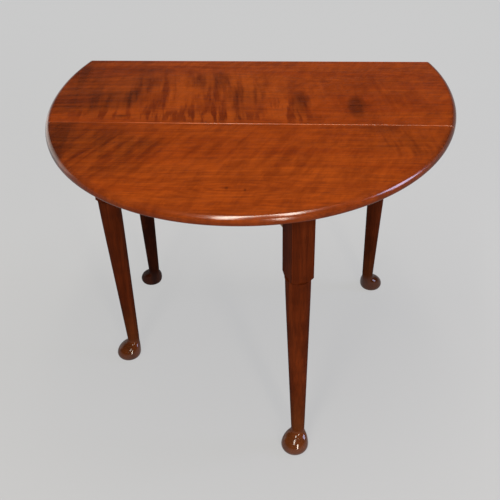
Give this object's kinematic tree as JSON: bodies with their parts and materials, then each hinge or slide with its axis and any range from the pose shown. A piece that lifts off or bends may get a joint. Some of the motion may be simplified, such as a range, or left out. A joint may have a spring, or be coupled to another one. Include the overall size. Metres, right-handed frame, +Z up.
{
  "type": "drop leaf table",
  "caption": "Oval mahogany drop-leaf table with rule-jointed leaves, swing legs on wooden knuckle joints and turned legs on pad feet; front leaf raised, rear leaf hanging.",
  "frame": {"origin": "on the floor, under the middle of the bounding box with the front leaf up and the rear leaf hanging", "axes": "+X along the joints between the boards, +Y from the raised front leaf towards the hanging rear leaf, +Z up"},
  "size_m": [0.9598, 0.8259, 0.71],
  "materials": {
    "top_mahogany": "french polished",
    "frame_mahogany": "waxed",
    "oak": "raw, aged",
    "iron": "dark, oxidised"
  },
  "bodies": {
    "frame": {"centre_board": "top_mahogany", "front_corner_block_1": "oak", "front_corner_block_2": "oak", "front_fixed_leg": "frame_mahogany", "front_fixed_rail": "oak", "front_fixed_rail_peg_1": "oak", "front_fixed_rail_peg_2": "oak", "front_hinge_1_board_flap": "iron", "front_hinge_1_pin": "iron", "front_hinge_2_board_flap": "iron", "front_hinge_2_pin": "iron", "front_hinge_3_board_flap": "iron", "front_hinge_3_pin": "iron", "front_inner_rail": "oak", "front_knuckle_pin": "iron", "front_top_block_1": "oak", "front_top_block_1_screw": "iron", "front_top_block_2": "oak", "front_top_block_2_screw": "iron", "left_end_rail": "frame_mahogany", "left_end_rail_peg_1": "oak", "left_end_rail_peg_2": "oak", "rear_corner_block_1": "oak", "rear_corner_block_2": "oak", "rear_fixed_leg": "frame_mahogany", "rear_fixed_rail": "oak", "rear_fixed_rail_peg_1": "oak", "rear_fixed_rail_peg_2": "oak", "rear_hinge_1_board_flap": "iron", "rear_hinge_1_pin": "iron", "rear_hinge_2_board_flap": "iron", "rear_hinge_2_pin": "iron", "rear_hinge_3_board_flap": "iron", "rear_hinge_3_pin": "iron", "rear_inner_rail": "oak", "rear_knuckle_pin": "iron", "rear_top_block_1": "oak", "rear_top_block_1_screw": "iron", "rear_top_block_2": "oak", "rear_top_block_2_screw": "iron", "right_end_rail": "frame_mahogany", "right_end_rail_peg_1": "oak", "right_end_rail_peg_2": "oak"},
    "front_leaf": {"front_hinge_1_leaf_flap": "iron", "front_hinge_2_leaf_flap": "iron", "front_hinge_3_leaf_flap": "iron", "front_leaf": "top_mahogany"},
    "rear_leaf": {"rear_hinge_1_leaf_flap": "iron", "rear_hinge_2_leaf_flap": "iron", "rear_hinge_3_leaf_flap": "iron", "rear_leaf": "top_mahogany"},
    "front_gate": {"front_gate_leg": "frame_mahogany", "front_gate_rail": "oak", "front_gate_rail_peg_1": "oak", "front_gate_rail_peg_2": "oak"},
    "rear_gate": {"rear_gate_leg": "frame_mahogany", "rear_gate_rail": "oak", "rear_gate_rail_peg_1": "oak", "rear_gate_rail_peg_2": "oak"}
  },
  "joints": [
    {"name": "front_leaf_hinge", "type": "hinge", "parent": "frame", "child": "front_leaf", "pos_m": [0, -0.008, 0.691], "axis": [-1, 0, 0], "range_deg": [0, 0.9]},
    {"name": "rear_leaf_hinge", "type": "hinge", "parent": "frame", "child": "rear_leaf", "pos_m": [0, 0.394, 0.691], "axis": [1, 0, 0], "range_deg": [0, 90]},
    {"name": "front_gate_hinge", "type": "hinge", "parent": "frame", "child": "front_gate", "pos_m": [-0.0055, 0.0305, 0.629], "axis": [0, 0, 1], "range_deg": [-23.5, 66.5]},
    {"name": "rear_gate_hinge", "type": "hinge", "parent": "frame", "child": "rear_gate", "pos_m": [0.0055, 0.3555, 0.629], "axis": [0, 0, -1], "range_deg": [0, 0.12]}
  ]
}
